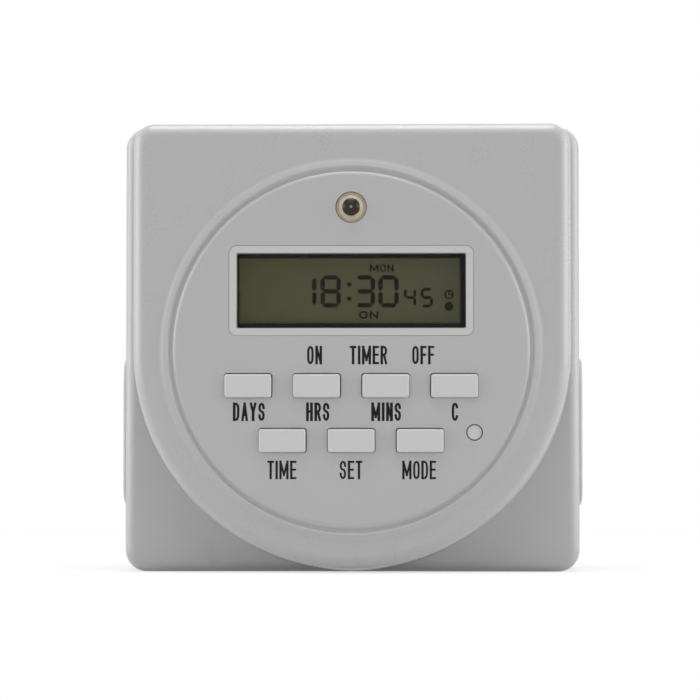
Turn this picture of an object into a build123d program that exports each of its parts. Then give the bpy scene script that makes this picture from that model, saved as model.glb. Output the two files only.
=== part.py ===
from build123d import *
import os
from math import radians, tan

# A digital plug-in timer with an earthed outlet in each side face.
# The origin lies on the rear face, midway between the plug's two flat blades.
# +Z is up, the front looks along -Y, and +X is to the right as seen from the front.
# A depth is a distance in front of the rear face, so a point at depth d has y = -d.

os.makedirs("parts", exist_ok=True)

# Plug, to the common grounded household pattern
blade_spacing = 12.7
blade_thickness = 1.52
blade_width = 6.35
blade_length = 17.9
blade_tip_chamfer = 0.6
blade_hole_radius = 1.98
blade_hole_distance = 11.9
ground_drop = 11.9
ground_radius = 2.38
ground_length = 21.3
ground_tip_length = 2.2
ground_tip_radius = 1.2
ground_collar_radius = 2.6

# Outlets in the side faces
outlet_width = 25.0
outlet_height = 27.75
outlet_centre_drop = 5.06
outlet_corner_radius = 4.5
outlet_proud = 0.7
outlet_edge_radius = 0.6
outlet_clearance = 0.15
outlet_margin = 3.5
flange_thickness = 1.5
flange_overhang = 1.0
slot_width = 1.9
line_slot_height = 6.9
neutral_slot_height = 8.5
ground_hole_radius = 2.7
shelf_thickness = 1.2
shelf_clearance = 0.2
shelf_width = 22.0

# Housing
body_width = 85.0
body_height = 83.2
plug_height = 31.2
corner_radius = 4.0
wall = 2.2
step_edge_radius = 2.0
rear_edge_radius = 1.5
seam_chamfer = 0.25
lip_thickness = 1.0
lip_height = 1.5
lip_clearance = 0.1

# Raised U-shaped face on the front
side_step = 1.6
root_sink = 1.0
face_rise = 7.5
face_draft = 5.0
face_corner_radius = 3.8
face_edge_radius = 2.4
bead_land = 0.3
bead_width = 1.5
bead_height = 0.35

# Control panel
panel_diameter = 66.6
ring_drop = 0.4
panel_clearance = 0.1
panel_proud = 0.7
panel_thickness = 2.0
panel_edge_radius = 1.2
panel_rim_width = 1.5
panel_rim_height = 0.5
collar_width = 2.1
collar_height = 2.0
hook_width = 5.0
hook_thickness = 1.2
hook_reach = 0.9
hook_clearance = 0.1
hook_nose = 1.6
hook_angles = (-4, 65, 115, 184, 245, 295)

# Display, measured from the panel's centre
display_height = 10.9
window_width = 42.2
window_height = 13.7
window_corner_radius = 0.4
window_border = 1.5
lens_thickness = 0.9
lens_sink = 0.05
lens_clearance = 0.06
glass_overlap = 1.6
glass_top_overlap = 1.9
glass_thickness = 1.1
polariser_thickness = 0.2
polariser_margin = 0.3
reflector_thickness = 0.3
display_gap = 0.2
zebra_width = 1.3
zebra_gap = 0.25
lcd_frame_wall = 1.2
lcd_frame_corner_radius = 2.4
lcd_frame_clearance = 0.1
lcd_frame_notch_clearance = 0.2

# Indicator lamp
lamp_height = 26.3
lamp_radius = 2.5
lamp_hole_clearance = 0.07
lamp_flange_radius = 2.82
lamp_flange_thickness = 1.0
lamp_flange_sink = 0.5
lamp_proud = 1.3
lamp_lead_radius = 0.25
lamp_lead_pitch = 2.54

# Keys: holes in the panel, and caps that sit a little low and outward in them
upper_keys = ("day", "hours", "minutes", "recall")
lower_keys = ("clock", "set", "mode")
key_hole_width = 8.93
key_hole_height = 4.6
key_hole_corner_radius = 0.6
key_pitch = 12.65
upper_row_drop = 6.63
row_gap = 10.09
key_clearance = 0.14
key_shift = 0.06
key_proud = 0.8
key_travel = 0.8
key_edge_radius = 0.35
key_flange_overhang = 0.5
key_flange_thickness = 0.8
key_stop_clearance = 0.1
reset_across = 22.7
reset_drop = 15.25
reset_hole_radius = 1.53
reset_radius = 1.35
reset_sink = 0.5
reset_flange_radius = 2.0

# Keypad mat: a silicone sheet with a dome and a contact pill under each key
mat_thickness = 0.8
mat_web = 0.45
dome_radius = 2.9
dome_rise = 2.0
plunger_radius = 1.9
plunger_core_radius = 1.3
pill_radius = 1.25
pill_thickness = 0.4
pill_floor_clearance = 0.05
mat_border = 0.8

# Control board and what it carries
control_board_radius = 30.5
board_thickness = 1.6
board_gap = 4.7
panel_post_radius = 2.3
panel_screw_radius = 1.1
panel_screw_length = 5.0
panel_post_places = ((-11, 24.3), (11, 24.3), (-8, -25), (8, -25))
blob_radius = 6.0
blob_height = 1.6
blob_place = (-4, -4)
crystal_radius = 1.0
crystal_length = 6.0
crystal_place = (-17, -9)
battery_radius = 7.75
battery_thickness = 6.1
battery_place = (13, 2)
tab_thickness = 0.3
tab_width = 4.0
tab_overhang = 1.2

# Screws
screw_clearance = 0.05
screw_head_height = 1.6
screw_head_ratio = 1.85
case_screw_radius = 1.5
case_screw_length = 11.0
case_screw_head_height = 2.0
case_well_radius = 3.1
case_well_depth = 9.5
post_wall = 1.3
spigot_radius = 3.2
spigot_wall_gap = 0.2
spigot_length = 4.0
board_screw_radius = 1.25
board_screw_length = 5.0
board_post_radius = 2.8
board_post_height = 3.3
board_post_inset = 4.0

# Blade seat and retainer inside the rear case
seat_height = 1.5
seat_side = 6.65
seat_top = 7.0
seat_bottom = 5.1
seat_clearance = 0.1
blade_clearance = 0.05
shoulder_overhang = 2.0
tail_width = 5.0
ground_flange_radius = 4.0
ground_neck_radius = 2.0
retainer_thickness = 3.0
retainer_screw_across = 10.5
retainer_screw_drop = 6.0
retainer_screw_length = 5.0

# Stamped contact strips
strip_thickness = 0.8
blade_grip = 1.3
ground_grip = 4.4
jaw_height = 7.6
ground_jaw_height = 6.0
jaw_length = 13.8
jaw_flare_length = 2.5
jaw_flare = 0.9
jaw_gap = 0.5
bridge_height = 3.2
bridge_gap = 1.2
ground_bridge_height = 5.0
neutral_bends = (-3.0, 7.0)
line_bends = (13.0, 3.0)

# Power board: places and outlines of its parts are shares of half its width and of its height,
# measured from the middle of its bottom edge
power_board_side_gap = 5.3
power_board_bottom_gap = 3.7
power_board_top_gap = 1.1
relay_place = (0.53, 0.62)
relay_outline = (0.54, 0.55)
relay_height = 15.5
relay_edge = 0.5
dropper_place = (-0.55, 0.59)
dropper_outline = (0.51, 0.3)
dropper_height = 15.0
dropper_edge = 0.8
reservoir_place = (0.1, 0.765)
reservoir_radius = 4.0
reservoir_height = 12.0
varistor_place = (-0.63, 0.16)
varistor_radius = 5.0
varistor_thickness = 4.0
varistor_lift = 0.2
diode_place = (-0.1, 0.41)
diode_pitch = 0.1
diode_count = 4
diode_radius = 1.35
diode_length = 5.2
resistor_places = ((-0.63, 0.33), (-0.63, 0.86))
resistor_radius = 1.2
resistor_length = 6.5
transistor_place = (-0.09, 0.16)
transistor_radius = 2.4
transistor_flat = 1.3
transistor_height = 4.8
header_place = (-0.215, 0.89)
header_width = 10.2
header_thickness = 2.5
header_height = 8.5
ribbon_width = 9.0
ribbon_thickness = 1.0
ribbon_landing = 17.5
ribbon_bow = 2.0

# Leads
lead_radius = 1.0
lead_bend = 2.2
lead_landing = 3.5
lead_board_gap = 0.1
neutral_lead_share = -0.34
switched_lead_share = 0.51

# Turns
quarter_turn = 90

# Places that follow from the sizes
body_bottom = -plug_height
body_top = body_bottom + body_height
body_middle = (body_top + body_bottom) / 2
half_width = body_width / 2
inner_half_width = half_width - wall
parting_depth = outlet_margin + outlet_width / 2
step_depth = 2 * parting_depth
face_depth = step_depth + face_rise
face_root_depth = step_depth - step_edge_radius - root_sink
face_root_radius = half_width - side_step
face_radius = face_root_radius - (face_depth - step_depth) * tan(radians(face_draft))
ring_axis = body_middle - ring_drop

recess_radius = panel_diameter / 2 + panel_clearance
panel_face = face_depth + panel_proud
panel_back = panel_face - panel_thickness
seat_depth = panel_back - panel_rim_height
collar_back = seat_depth - collar_height
collar_radius = recess_radius - collar_width

board_front = panel_back - board_gap
board_back = board_front - board_thickness
display_axis = ring_axis + display_height
lens_back = panel_face - lens_sink - lens_thickness
display_front = panel_back - display_gap
front_glass_front = display_front - polariser_thickness
rear_glass_front = front_glass_front - glass_thickness
reflector_front = rear_glass_front - glass_thickness
glass_width = window_width + 2 * glass_overlap
glass_height = window_height + 2 * glass_top_overlap
zebra_offset = glass_height / 2 - zebra_width / 2
rear_glass_height = 2 * (zebra_offset - zebra_width / 2 - zebra_gap)

key_flange_front = panel_back - key_stop_clearance
key_back = key_flange_front - key_flange_thickness
mat_front = board_front + mat_thickness
mat_top = key_back - key_stop_clearance
pill_back = board_front + key_travel + pill_floor_clearance
pill_front = pill_back + pill_thickness

post_inset = wall + spigot_wall_gap + spigot_radius
post_radius = case_well_radius + post_wall
post_split = parting_depth - spigot_length
post_places = [
    (side * (half_width - post_inset), height)
    for side in (-1, 1)
    for height in (body_bottom + post_inset, body_top - post_inset)
]

outlet_axis = -outlet_centre_drop
outlet_front_face = half_width + outlet_proud
flange_back = inner_half_width - flange_thickness
jaw_mouth = flange_back - jaw_gap
jaw_back = jaw_mouth - jaw_length

power_board_back = wall + board_post_height
power_board_front = power_board_back + board_thickness
power_board_half = inner_half_width - power_board_side_gap
power_board_bottom = outlet_axis + outlet_height / 2 + flange_overhang + power_board_bottom_gap
power_board_top = body_top - post_inset - post_radius - power_board_top_gap
power_board_height = power_board_top - power_board_bottom

seat_front = wall + seat_height
retainer_front = seat_front + retainer_thickness
near_depth = parting_depth - blade_spacing / 2
far_depth = parting_depth + blade_spacing / 2
tail_end = near_depth - strip_thickness / 2
ground_strip_depth = parting_depth - ground_grip / 2 - strip_thickness / 2
ground_pin_end = ground_strip_depth - strip_thickness / 2


# Helpers: outlines are drawn as seen from the front, X to the right and Z up
def slab(outline, back, front):
    return extrude(Plane.XZ.offset(back) * outline, front - back)


def rod(x, z, radius, back, front):
    return slab(Pos(x, z) * Circle(radius), back, front)


def box_outline(left, right, bottom, top):
    return Pos((left + right) / 2, (bottom + top) / 2) * Rectangle(right - left, top - bottom)


# A solid of revolution about a line along Y, from (radius, depth) points
def turned(points, x=0, z=0):
    outline = Polyline([(radius, -depth) for radius, depth in points], close=True)
    return Pos(x, 0, z) * revolve(make_face(outline), Axis.Y)


# A block that grows outward from one side of the body; outlines are (depth, height)
def side_block(outline, inner, outer, side):
    return extrude(Plane.YZ.offset(side * inner) * outline, side * (outer - inner))


def side_outline(depth, height, shape):
    return Pos(-depth, height) * shape


# A screw whose head rests at head_seat; direction 1 drives it towards the front
def screw(x, z, radius, length, head_seat, head_height, direction):
    head_radius = radius * screw_head_ratio
    head_end = head_seat - direction * head_height
    tip = head_seat + direction * length
    shank = rod(x, z, radius, min(head_seat, tip), max(head_seat, tip))
    head = rod(x, z, head_radius, min(head_seat, head_end), max(head_seat, head_end))
    return shank + head


def save(name, shape):
    export_step(shape, f"parts/{name}.step")


def save_group(name, solids):
    export_step(Compound(solids), f"parts/{name}.step")


# Housing outlines
def body_plan(inset):
    return Pos(0, body_middle) * RectangleRounded(
        body_width - 2 * inset, body_height - 2 * inset, corner_radius - inset
    )


def face_plan(radius, top, corner):
    lower_half = box_outline(-radius, radius, ring_axis - radius, ring_axis)
    bowl = Pos(0, ring_axis) * Circle(radius) & lower_half
    outline = box_outline(-radius, radius, ring_axis, top) + bowl
    return fillet(outline.vertices().group_by(Axis.Y)[-1], corner)


# What lies inside the raised face's walls
def face_block(inset, back, front):
    inner = face_plan(face_radius - inset, body_top - inset, corner_radius - inset)
    return slab(inner, back, front) & slab(body_plan(inset), back, front)


def lip_ring(thickness, top):
    ring = body_plan(wall - thickness) - body_plan(wall)
    return slab(ring, parting_depth, top)


def outlet_openings():
    width = outlet_width + 2 * outlet_clearance
    height = outlet_height + 2 * outlet_clearance
    hole = RectangleRounded(width, height, outlet_corner_radius + outlet_clearance)
    outline = side_outline(parting_depth, outlet_axis, hole)
    inner = inner_half_width - lip_thickness
    outer = half_width + wall
    return [side_block(outline, inner, outer, side) for side in (-1, 1)]


# Front case: lower square step, U-shaped raised face with drafted walls, ring bead and recess
def front_case():
    step = slab(body_plan(0), parting_depth, step_depth)
    step_rim = step.faces().sort_by(Axis.Y)[0].edges()
    step = fillet(step_rim, step_edge_radius)
    step = chamfer(step.faces().sort_by(Axis.Y)[-1].edges(), seam_chamfer)

    root_growth = (step_depth - face_root_depth) * tan(radians(face_draft))
    root = face_plan(face_root_radius + root_growth, body_top, face_corner_radius)
    crown = face_plan(face_radius, body_top, face_corner_radius)
    raised = loft(
        [Plane.XZ.offset(face_root_depth) * root, Plane.XZ.offset(face_depth) * crown],
        ruled=True,
    )
    raised_rim = raised.faces().sort_by(Axis.Y)[0].edges()
    within_body = slab(body_plan(0), face_root_depth, face_depth)
    shell = step + (fillet(raised_rim, face_edge_radius) & within_body)

    bead_inner = recess_radius + bead_land
    bead_outer = bead_inner + bead_width
    bead_foot = face_depth - bead_height
    bead_arc = ThreePointArc(
        (bead_inner, -face_depth),
        ((bead_inner + bead_outer) / 2, -(face_depth + bead_height)),
        (bead_outer, -face_depth),
    )
    bead_base = Polyline(
        (bead_outer, -face_depth),
        (bead_outer, -bead_foot),
        (bead_inner, -bead_foot),
        (bead_inner, -face_depth),
    )
    shell += Pos(0, 0, ring_axis) * revolve(make_face([bead_arc, bead_base]), Axis.Y)

    # Hollow behind the step and behind the raised face
    face_back = face_depth - wall
    shell -= slab(body_plan(wall), parting_depth, step_depth - wall)
    shell -= face_block(wall, parting_depth, face_back)

    # Collar that carries the control panel
    shell += rod(0, ring_axis, recess_radius + wall, collar_back, face_back)
    shell -= rod(0, ring_axis, recess_radius, seat_depth, panel_face)
    shell -= rod(0, ring_axis, collar_radius, collar_back, panel_face)
    shell -= slab(lcd_frame_outline(lcd_frame_notch_clearance), collar_back, panel_back)

    # Screw posts, each with a slimmer spigot that reaches down into the rear case
    lip_seat = parting_depth + lip_height + lip_clearance
    half_wall = wall / 2
    core = slab(body_plan(half_wall), 0, step_depth - half_wall)
    core += face_block(half_wall, step_depth - wall, face_depth - half_wall)
    for x, z in post_places:
        post = rod(x, z, post_radius, lip_seat, face_depth) & core
        spigot = rod(x, z, spigot_radius, post_split, lip_seat)
        shell = shell + post + spigot
        pilot_end = case_well_depth + case_screw_length + screw_clearance
        shell -= rod(x, z, case_screw_radius + screw_clearance, post_split, pilot_end)

    shell -= lip_ring(lip_thickness + lip_clearance, lip_seat)
    for opening in outlet_openings():
        shell -= opening
    return shell


# Rear case: tray with screw wells, board posts, blade seat and stops behind the outlets
def rear_case():
    tray = slab(body_plan(0), 0, parting_depth)
    tray = fillet(tray.faces().sort_by(Axis.Y)[-1].edges(), rear_edge_radius)
    tray = chamfer(tray.faces().sort_by(Axis.Y)[0].edges(), seam_chamfer)
    tray -= slab(body_plan(wall), wall, parting_depth)
    tray += lip_ring(lip_thickness, parting_depth + lip_height)
    for opening in outlet_openings():
        tray -= opening

    for x, z in post_places:
        post = rod(x, z, post_radius, wall / 2, post_split) & slab(body_plan(wall / 2), 0, post_split)
        tray += post
        tray -= rod(x, z, case_well_radius, 0, case_well_depth)
        tray -= rod(x, z, case_screw_radius + screw_clearance, 0, post_split)

    for x, z in board_post_places():
        tray += rod(x, z, board_post_radius, wall, power_board_back)
        pilot = board_screw_radius + screw_clearance
        tray -= rod(x, z, pilot, power_board_front - board_screw_length, power_board_back)

    seat = box_outline(*seat_box())
    tray += slab(seat, wall, seat_front)
    blade_slot = Rectangle(
        blade_thickness + 2 * blade_clearance, blade_width + 2 * blade_clearance
    )
    shoulder_pocket = Rectangle(
        blade_thickness + 2 * seat_clearance,
        blade_width + 2 * (shoulder_overhang + seat_clearance),
    )
    for side in (-1, 1):
        at_blade = Pos(side * blade_spacing / 2, 0)
        tray -= slab(at_blade * blade_slot, 0, seat_front)
        tray -= slab(at_blade * shoulder_pocket, wall, seat_front)
    tray -= rod(0, -ground_drop, ground_collar_radius + blade_clearance, 0, seat_front)
    tray -= rod(0, -ground_drop, ground_flange_radius + seat_clearance, wall, seat_front)
    for x, z in retainer_screw_places():
        pilot = board_screw_radius + screw_clearance
        tray -= rod(x, z, pilot, retainer_front - retainer_screw_length, seat_front)

    stop_outer = flange_back - shelf_clearance
    stop_inner = stop_outer - flange_thickness
    flange_half = outlet_height / 2 + flange_overhang
    for side in (-1, 1):
        upper = outlet_axis + flange_half - outlet_corner_radius
        lower = outlet_axis - flange_half + shelf_thickness
        for bottom in (lower, upper):
            left, right = sorted((side * stop_inner, side * stop_outer))
            stop = box_outline(left, right, bottom, bottom + 2 * shelf_thickness)
            tray += slab(stop, wall, parting_depth - shelf_thickness)
    return tray


def seat_box():
    half = blade_spacing / 2 + seat_side
    return -half, half, -ground_drop - seat_bottom, seat_top


def retainer_screw_places():
    return [(side * retainer_screw_across, -retainer_screw_drop) for side in (-1, 1)]


def board_post_places():
    across = power_board_half - board_post_inset
    lower = power_board_bottom + board_post_inset
    upper = power_board_top - board_post_inset
    return [(side * across, height) for side in (-1, 1) for height in (lower, upper)]


# Side outlet: a proud face with the slots, a flange inside the wall and shelves for the jaws
def outlet(side):
    face = RectangleRounded(outlet_width, outlet_height, outlet_corner_radius)
    flange = RectangleRounded(
        outlet_width + 2 * flange_overhang,
        outlet_height + 2 * flange_overhang,
        outlet_corner_radius + flange_overhang,
    )
    at_centre = (parting_depth, outlet_axis)
    face_block = side_block(side_outline(*at_centre, face), flange_back, outlet_front_face, side)
    outer_rim = face_block.faces().sort_by(Axis.X)[-1 if side > 0 else 0].edges()
    body = fillet(outer_rim, outlet_edge_radius)
    body += side_block(side_outline(*at_centre, flange), flange_back, inner_half_width, side)

    shelf_heights = (
        jaw_height / 2 + shelf_clearance,
        -jaw_height / 2 - shelf_clearance - shelf_thickness,
        -ground_drop - ground_jaw_height / 2 - shelf_clearance - shelf_thickness,
    )
    for height in shelf_heights:
        shelf = Rectangle(shelf_width, shelf_thickness, align=(Align.CENTER, Align.MIN))
        body += side_block(side_outline(parting_depth, height, shelf), jaw_back, flange_back, side)

    line_depth = near_depth if side > 0 else far_depth
    neutral_depth = far_depth if side > 0 else near_depth
    holes = (
        side_outline(line_depth, 0, Rectangle(slot_width, line_slot_height)),
        side_outline(neutral_depth, 0, Rectangle(slot_width, neutral_slot_height)),
        side_outline(parting_depth, -ground_drop, Circle(ground_hole_radius)),
    )
    for hole in holes:
        body -= side_block(hole, flange_back, outlet_front_face, side)
    return body


# Control panel: a disc with window, lamp hole and key holes, on posts and snap hooks
def control_panel():
    disc = rod(0, ring_axis, panel_diameter / 2, panel_back, panel_face)
    disc = fillet(disc.faces().sort_by(Axis.Y)[0].edges(), panel_edge_radius)
    rim_outline = Circle(panel_diameter / 2) - Circle(panel_diameter / 2 - panel_rim_width)
    disc += slab(Pos(0, ring_axis) * rim_outline, seat_depth, panel_back)

    outer = collar_radius - 2 * hook_clearance
    inner = outer - hook_thickness
    barb_front = collar_back - hook_clearance
    hook_end = barb_front - hook_nose
    hook_profile = Polyline(
        (inner, -panel_face + panel_thickness / 2),
        (outer, -panel_face + panel_thickness / 2),
        (outer, -barb_front),
        (outer + hook_reach, -barb_front),
        (outer, -hook_end),
        (inner, -hook_end),
        close=True,
    )
    hook = extrude(make_face(hook_profile), hook_width / 2, both=True)
    for angle in hook_angles:
        disc += Pos(0, 0, ring_axis) * Rot(0, -angle, 0) * hook

    for x, height in panel_post_places:
        z = ring_axis + height
        disc += rod(x, z, panel_post_radius, board_front, panel_back)
        pilot_end = board_back + panel_screw_length + screw_clearance
        disc -= rod(x, z, panel_screw_radius + screw_clearance, board_front, pilot_end)

    window = Pos(0, display_axis) * RectangleRounded(
        window_width, window_height, window_corner_radius
    )
    disc -= slab(window, panel_back, panel_face)
    disc -= slab(Pos(0, display_axis) * lens_outline(0), lens_back, panel_face)
    lamp_hole = lamp_flange_radius + lamp_hole_clearance
    disc -= rod(0, ring_axis + lamp_height, lamp_hole, panel_back, panel_face)
    for x, z in key_places.values():
        hole = RectangleRounded(key_hole_width, key_hole_height, key_hole_corner_radius)
        disc -= slab(Pos(x, z) * hole, panel_back, panel_face)
    disc -= rod(*reset_place, reset_hole_radius, panel_back, panel_face)
    return disc


def lens_outline(inset):
    return RectangleRounded(
        window_width + 2 * (window_border - inset),
        window_height + 2 * (window_border - inset),
        window_border - inset,
    )


# Where the keys are, by name
def key_row(names, height):
    first = -key_pitch * (len(names) - 1) / 2
    return {name: (first + index * key_pitch, height) for index, name in enumerate(names)}


upper_row = ring_axis - upper_row_drop
lower_row = upper_row - row_gap
key_places = key_row(upper_keys, upper_row) | key_row(lower_keys, lower_row)
reset_place = (reset_across, ring_axis - reset_drop)


def key_cap(x, z):
    across = x + key_shift * (x > 0) - key_shift * (x < 0)
    height = z - key_shift
    width = key_hole_width - 2 * key_clearance
    tall = key_hole_height - 2 * key_clearance
    cap_outline = RectangleRounded(width, tall, key_hole_corner_radius - key_clearance)
    cap = slab(Pos(across, height) * cap_outline, key_back, panel_face + key_proud)
    cap = fillet(cap.faces().sort_by(Axis.Y)[0].edges(), key_edge_radius)
    flange = Rectangle(width + 2 * key_flange_overhang, tall + 2 * key_flange_overhang)
    return cap + slab(Pos(across, height) * flange, key_back, key_flange_front)


def reset_cap():
    stem = rod(*reset_place, reset_radius, key_back, panel_face - reset_sink)
    return stem + rod(*reset_place, reset_flange_radius, key_back, key_flange_front)


# Keypad mat: each dome is a cone over a hollow, with a plunger in its middle
def keypad_mat():
    places = list(key_places.values()) + [reset_place]
    reach = reset_across + dome_radius + mat_border
    top = upper_row + dome_radius + mat_border
    bottom = lower_row - dome_radius - mat_border
    sheet = box_outline(-reach, reach, bottom, top)
    sheet = sheet & Pos(0, ring_axis) * Circle(control_board_radius - screw_clearance)
    mat = slab(sheet, board_front, mat_front)
    dome_top = mat_front + dome_rise
    dome = [
        (0, board_front),
        (dome_radius, board_front),
        (dome_radius, mat_front),
        (plunger_radius, dome_top),
        (plunger_radius, mat_top),
        (0, mat_top),
    ]
    hollow_radius = dome_radius - mat_web
    hollow_top = dome_top - mat_web
    hollow_neck = plunger_core_radius + mat_web / 2
    hollow = [
        (0, board_front),
        (hollow_radius, board_front),
        (hollow_radius, mat_front - mat_web / 2),
        (hollow_neck, hollow_top),
        (plunger_core_radius, hollow_top),
        (plunger_core_radius, pill_front),
        (0, pill_front),
    ]
    for x, z in places:
        mat += turned(dome, x, z)
    for x, z in places:
        mat -= turned(hollow, x, z)
    return mat


# Display layers, with the rear glass short of the rubber contact strips
def display_layer(width, height, back, front):
    return slab(Pos(0, display_axis) * Rectangle(width, height), back, front)


def lcd_frame_outline(growth):
    margin = lcd_frame_clearance + lcd_frame_wall + growth
    outline = RectangleRounded(
        glass_width + 2 * margin, glass_height + 2 * margin, lcd_frame_corner_radius + growth
    )
    return Pos(0, display_axis) * outline


def lcd_frame():
    inner_width = glass_width + 2 * lcd_frame_clearance
    inner_height = glass_height + 2 * lcd_frame_clearance
    hollow = Pos(0, display_axis) * Rectangle(inner_width, inner_height)
    return slab(lcd_frame_outline(0) - hollow, board_front, panel_back - lcd_frame_clearance)


def zebra(direction):
    height = display_axis + direction * zebra_offset
    strip = Pos(0, height) * Rectangle(window_width, zebra_width)
    return slab(strip, board_front, rear_glass_front)


def indicator_lamp():
    z = ring_axis + lamp_height
    tip = panel_face + lamp_proud
    lamp_front = panel_face - lamp_flange_sink
    lamp_back = lamp_front - lamp_flange_thickness
    lamp = rod(0, z, lamp_flange_radius, lamp_back, lamp_front)
    ball = Pos(0, lamp_radius - tip, z) * Sphere(lamp_radius)
    lamp += ball & rod(0, z, lamp_radius, lamp_back, tip)
    for side in (-1, 1):
        lamp += rod(side * lamp_lead_pitch / 2, z, lamp_lead_radius, board_front, lamp_back)
    return lamp


def control_board():
    board = rod(0, ring_axis, control_board_radius, board_back, board_front)
    for x, height in panel_post_places:
        board -= rod(x, ring_axis + height, panel_screw_radius + screw_clearance, board_back, board_front)
    return board


# A low cap of a large sphere
def processor_blob():
    x, height = blob_place
    z = ring_axis + height
    sphere_radius = (blob_radius**2 + blob_height**2) / (2 * blob_height)
    crown = board_back - blob_height
    ball = Pos(x, -crown - sphere_radius, z) * Sphere(sphere_radius)
    return ball & rod(x, z, blob_radius + blob_height, crown, board_back)


def timing_crystal():
    x, height = crystal_place
    can = Cylinder(crystal_radius, crystal_length, rotation=(0, quarter_turn, 0))
    return Pos(x, crystal_radius - board_back, ring_axis + height) * can


def backup_battery():
    x, height = battery_place
    front = board_back - tab_thickness
    return rod(x, ring_axis + height, battery_radius, front - battery_thickness, front)


# One tab lies under the cell and one runs over it and down to the board
def battery_tabs():
    x, height = battery_place
    z = ring_axis + height
    cell_back = board_back - tab_thickness - battery_thickness
    leg = x + battery_radius + tab_overhang
    under = slab(
        box_outline(x - battery_radius - tab_overhang, x, z - tab_width / 2, z + tab_width / 2),
        board_back - tab_thickness,
        board_back,
    )
    path = Polyline(
        (x, tab_thickness / 2 - cell_back),
        (leg, tab_thickness / 2 - cell_back),
        (leg, -board_back),
    )
    over = extrude(Plane.XY.offset(z - tab_width / 2) * trace(path, tab_thickness), tab_width)
    return [under, over]


# Plug blade with a shoulder in the seat and a tail that reaches the contact strip
def blade(side):
    x = side * blade_spacing / 2
    prong = slab(Pos(x, 0) * Rectangle(blade_thickness, blade_width), -blade_length, wall)
    tip_edges = prong.faces().sort_by(Axis.Y)[-1].edges().filter_by(Axis.Z)
    prong = chamfer(tip_edges, blade_tip_chamfer)
    shoulder_height = blade_width + 2 * shoulder_overhang
    shoulder = slab(Pos(x, 0) * Rectangle(blade_thickness, shoulder_height), wall, seat_front)
    tail = slab(Pos(x, 0) * Rectangle(blade_thickness, tail_width), seat_front, tail_end)
    hole = Cylinder(blade_hole_radius, 2 * blade_thickness, rotation=(0, quarter_turn, 0))
    return prong + shoulder + tail - Pos(x, blade_hole_distance, 0) * hole


def ground_pin():
    points = [
        (0, -ground_length),
        (ground_tip_radius, -ground_length),
        (ground_radius, -ground_length + ground_tip_length),
        (ground_radius, 0),
        (ground_collar_radius, 0),
        (ground_collar_radius, wall),
        (ground_flange_radius, wall),
        (ground_flange_radius, seat_front),
        (ground_neck_radius, seat_front),
        (ground_neck_radius, ground_pin_end),
        (0, ground_pin_end),
    ]
    return turned(points, 0, -ground_drop)


def blade_retainer():
    plate = slab(box_outline(*seat_box()), seat_front, retainer_front)
    tail_slot = Rectangle(blade_thickness + 2 * seat_clearance, tail_width + 2 * seat_clearance)
    for side in (-1, 1):
        plate -= slab(Pos(side * blade_spacing / 2, 0) * tail_slot, seat_front, retainer_front)
    plate -= rod(0, -ground_drop, ground_neck_radius + seat_clearance, seat_front, retainer_front)
    for x, z in retainer_screw_places():
        plate -= rod(x, z, board_screw_radius + screw_clearance, seat_front, retainer_front)
    return plate


# Sheet metal drawn from above as (across, depth) points and given its height
def sheet_strip(points, bottom, top):
    path = Polyline([(across, -depth) for across, depth in points])
    return extrude(Plane.XY.offset(bottom) * trace(path, strip_thickness), top - bottom)


def jaw_points(side, depth, grip):
    leaf = grip / 2 + strip_thickness / 2
    flare_start = jaw_mouth - jaw_flare_length
    half = [
        (side * jaw_mouth, leaf + jaw_flare),
        (side * flare_start, leaf),
        (side * jaw_back, leaf),
    ]
    rear = [(across, depth - offset) for across, offset in half]
    front = [(across, depth + offset) for across, offset in reversed(half)]
    return rear + front


# One jaw near the rear, one near the front, and a bridge that steps between them
def blade_strip(near_side, bends, bottom, top):
    half_jaw = jaw_height / 2
    near_jaw = sheet_strip(jaw_points(near_side, near_depth, blade_grip), -half_jaw, half_jaw)
    far_jaw = sheet_strip(jaw_points(-near_side, far_depth, blade_grip), -half_jaw, half_jaw)
    bridge = [
        (near_side * jaw_back, near_depth),
        (bends[0], near_depth),
        (bends[1], far_depth),
        (-near_side * jaw_back, far_depth),
    ]
    return near_jaw + far_jaw + sheet_strip(bridge, bottom, top)


def ground_strip():
    low = -ground_drop - ground_jaw_height / 2
    high = -ground_drop + ground_jaw_height / 2
    bridge = [(-jaw_back, ground_strip_depth), (jaw_back, ground_strip_depth)]
    half_bridge = ground_bridge_height / 2
    strip = sheet_strip(bridge, -ground_drop - half_bridge, -ground_drop + half_bridge)
    for side in (-1, 1):
        strip += sheet_strip(jaw_points(side, parting_depth, ground_grip), low, high)
    return strip


def power_board():
    outline = box_outline(
        -power_board_half, power_board_half, power_board_bottom, power_board_top
    )
    board = slab(outline, power_board_back, power_board_front)
    for x, z in board_post_places():
        board -= rod(x, z, board_screw_radius + screw_clearance, power_board_back, power_board_front)
    return board


def on_board(place):
    across, up = place
    return across * power_board_half, power_board_bottom + up * power_board_height


def block_on_board(place, outline, height, edge):
    width, tall = outline
    block = Rectangle(width * power_board_half, tall * power_board_height)
    solid = slab(Pos(*on_board(place)) * block, power_board_front, power_board_front + height)
    return chamfer(solid.edges(), edge)


def rod_on_board(place, radius, height):
    return rod(*on_board(place), radius, power_board_front, power_board_front + height)


def varistor():
    x, z = on_board(varistor_place)
    disc = Cylinder(varistor_radius, varistor_thickness)
    return Pos(x, -power_board_front - varistor_lift - varistor_radius, z) * disc


def lying_cylinder(place, radius, length, turn):
    x, z = on_board(place)
    return Pos(x, -power_board_front - radius, z) * Cylinder(radius, length, rotation=(0, turn, 0))


def rectifier_diodes():
    across, up = diode_place
    return [
        lying_cylinder((across + index * diode_pitch, up), diode_radius, diode_length, 0)
        for index in range(diode_count)
    ]


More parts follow.
